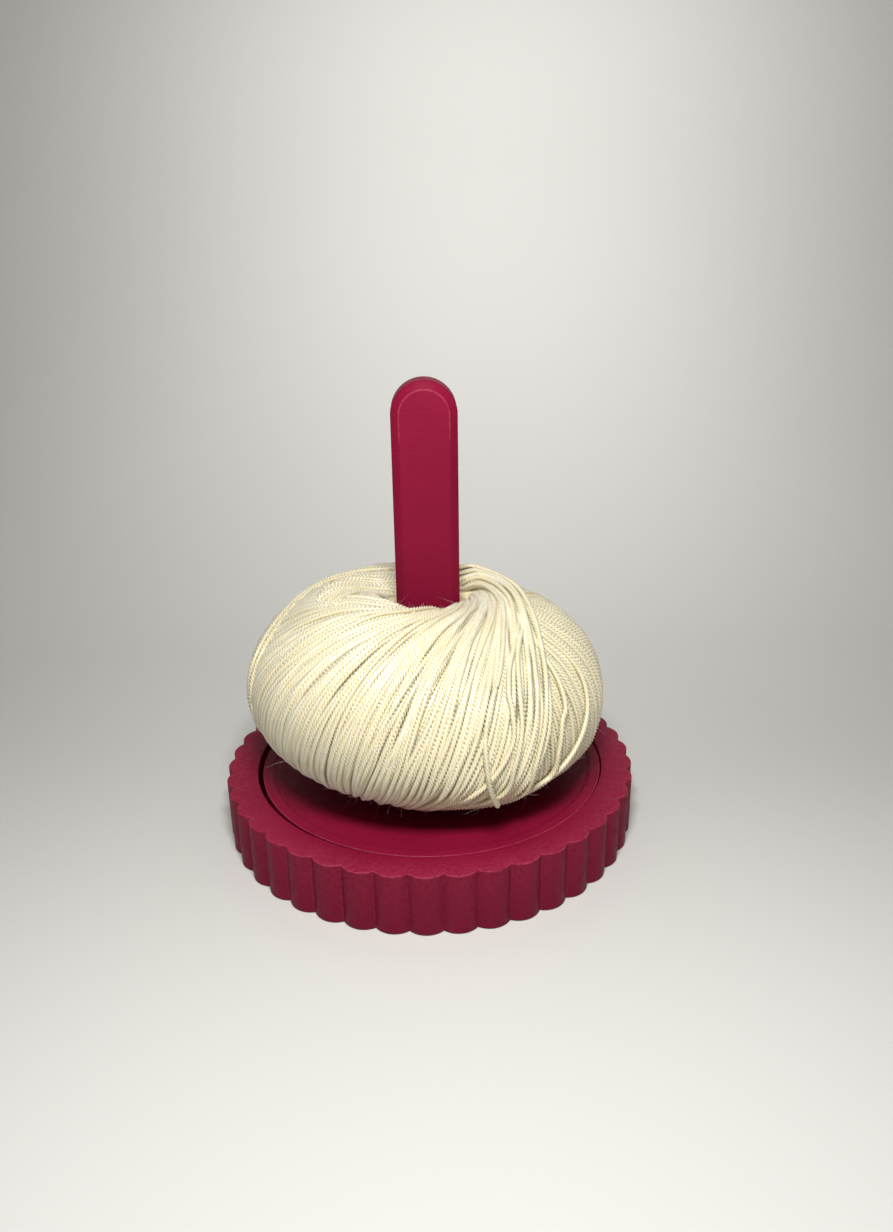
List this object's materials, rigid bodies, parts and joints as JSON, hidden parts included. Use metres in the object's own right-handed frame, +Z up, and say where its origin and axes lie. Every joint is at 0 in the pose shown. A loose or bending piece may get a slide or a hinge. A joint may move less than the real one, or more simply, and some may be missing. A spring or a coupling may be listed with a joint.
{
  "type": "rotating yarn holder",
  "caption": "Round scalloped base with a ball-bearing turntable let into it, an upright flat spindle with a round top, and a centre-pull ball of yarn on the spindle.",
  "frame": {"origin": "centre of the base on the surface that it stands on", "axes": "+Z up along the spindle, +X to the right and -Y towards the front, where the loose yarn end hangs"},
  "size_m": [0.1498, 0.15, 0.1615],
  "materials": {
    "printed_plastic": "matte 3D-printed crimson plastic with fine layer lines",
    "bearing_steel": "ground and polished bearing steel",
    "zinc_steel": "pressed or zinc plated steel, satin",
    "foot_rubber": "matte rubber",
    "yarn": "soft plied wool with a slight sheen"
  },
  "bodies": {
    "housing": {"base_body": "printed_plastic", "foot_pad_1": "foot_rubber", "foot_pad_2": "foot_rubber", "foot_pad_3": "foot_rubber", "foot_pad_4": "foot_rubber", "bearing_outer_ring": "bearing_steel", "bearing_upper_shield": "zinc_steel", "bearing_lower_shield": "zinc_steel"},
    "rotor": {"turntable": "printed_plastic", "bearing_inner_ring": "bearing_steel", "retaining_washer": "zinc_steel", "retaining_screw": "zinc_steel"},
    "cage": {"bearing_cage": "zinc_steel"},
    "bearing_ball_1": {"bearing_ball_1": "bearing_steel"},
    "bearing_ball_2": {"bearing_ball_2": "bearing_steel"},
    "bearing_ball_3": {"bearing_ball_3": "bearing_steel"},
    "bearing_ball_4": {"bearing_ball_4": "bearing_steel"},
    "bearing_ball_5": {"bearing_ball_5": "bearing_steel"},
    "bearing_ball_6": {"bearing_ball_6": "bearing_steel"},
    "bearing_ball_7": {"bearing_ball_7": "bearing_steel"},
    "spindle": {"spindle": "printed_plastic"},
    "yarn": {"yarn_ball": "yarn", "yarn_tail": "yarn"}
  },
  "joints": [
    {"name": "turntable_spin", "type": "hinge", "parent": "housing", "child": "rotor", "pos_m": [0.00065, 0, 0.0078], "axis": [0, 0, 1], "continuous": true},
    {"name": "cage_spin", "type": "hinge", "parent": "housing", "child": "cage", "pos_m": [0.00065, 0, 0.0078], "axis": [0, 0, 1], "continuous": true},
    {"name": "ball_1_spin", "type": "hinge", "parent": "cage", "child": "bearing_ball_1", "pos_m": [0.00815, 0, 0.0078], "axis": [0, 0, 1], "continuous": true},
    {"name": "ball_2_spin", "type": "hinge", "parent": "cage", "child": "bearing_ball_2", "pos_m": [0.00533, 0.00586, 0.0078], "axis": [0, 0, 1], "continuous": true},
    {"name": "ball_3_spin", "type": "hinge", "parent": "cage", "child": "bearing_ball_3", "pos_m": [-0.00102, 0.00731, 0.0078], "axis": [0, 0, 1], "continuous": true},
    {"name": "ball_4_spin", "type": "hinge", "parent": "cage", "child": "bearing_ball_4", "pos_m": [-0.00611, 0.00325, 0.0078], "axis": [0, 0, 1], "continuous": true},
    {"name": "ball_5_spin", "type": "hinge", "parent": "cage", "child": "bearing_ball_5", "pos_m": [-0.00611, -0.00325, 0.0078], "axis": [0, 0, 1], "continuous": true},
    {"name": "ball_6_spin", "type": "hinge", "parent": "cage", "child": "bearing_ball_6", "pos_m": [-0.00102, -0.00731, 0.0078], "axis": [0, 0, 1], "continuous": true},
    {"name": "ball_7_spin", "type": "hinge", "parent": "cage", "child": "bearing_ball_7", "pos_m": [0.00533, -0.00586, 0.0078], "axis": [0, 0, 1], "continuous": true},
    {"name": "spindle_pull", "type": "slide", "parent": "rotor", "child": "spindle", "axis": [0, 0, 1], "range_m": [0, 0.007]},
    {"name": "yarn_lift", "type": "slide", "parent": "rotor", "child": "yarn", "axis": [0, 0, 1], "range_m": [0, 0.145]}
  ],
  "couplings": [
    {"joint": "cage_spin", "follows": "turntable_spin", "ratio": 0.3677},
    {"joint": "ball_1_spin", "follows": "turntable_spin", "ratio": -1.7574},
    {"joint": "ball_2_spin", "follows": "turntable_spin", "ratio": -1.7574},
    {"joint": "ball_3_spin", "follows": "turntable_spin", "ratio": -1.7574},
    {"joint": "ball_4_spin", "follows": "turntable_spin", "ratio": -1.7574},
    {"joint": "ball_5_spin", "follows": "turntable_spin", "ratio": -1.7574},
    {"joint": "ball_6_spin", "follows": "turntable_spin", "ratio": -1.7574},
    {"joint": "ball_7_spin", "follows": "turntable_spin", "ratio": -1.7574}
  ]
}
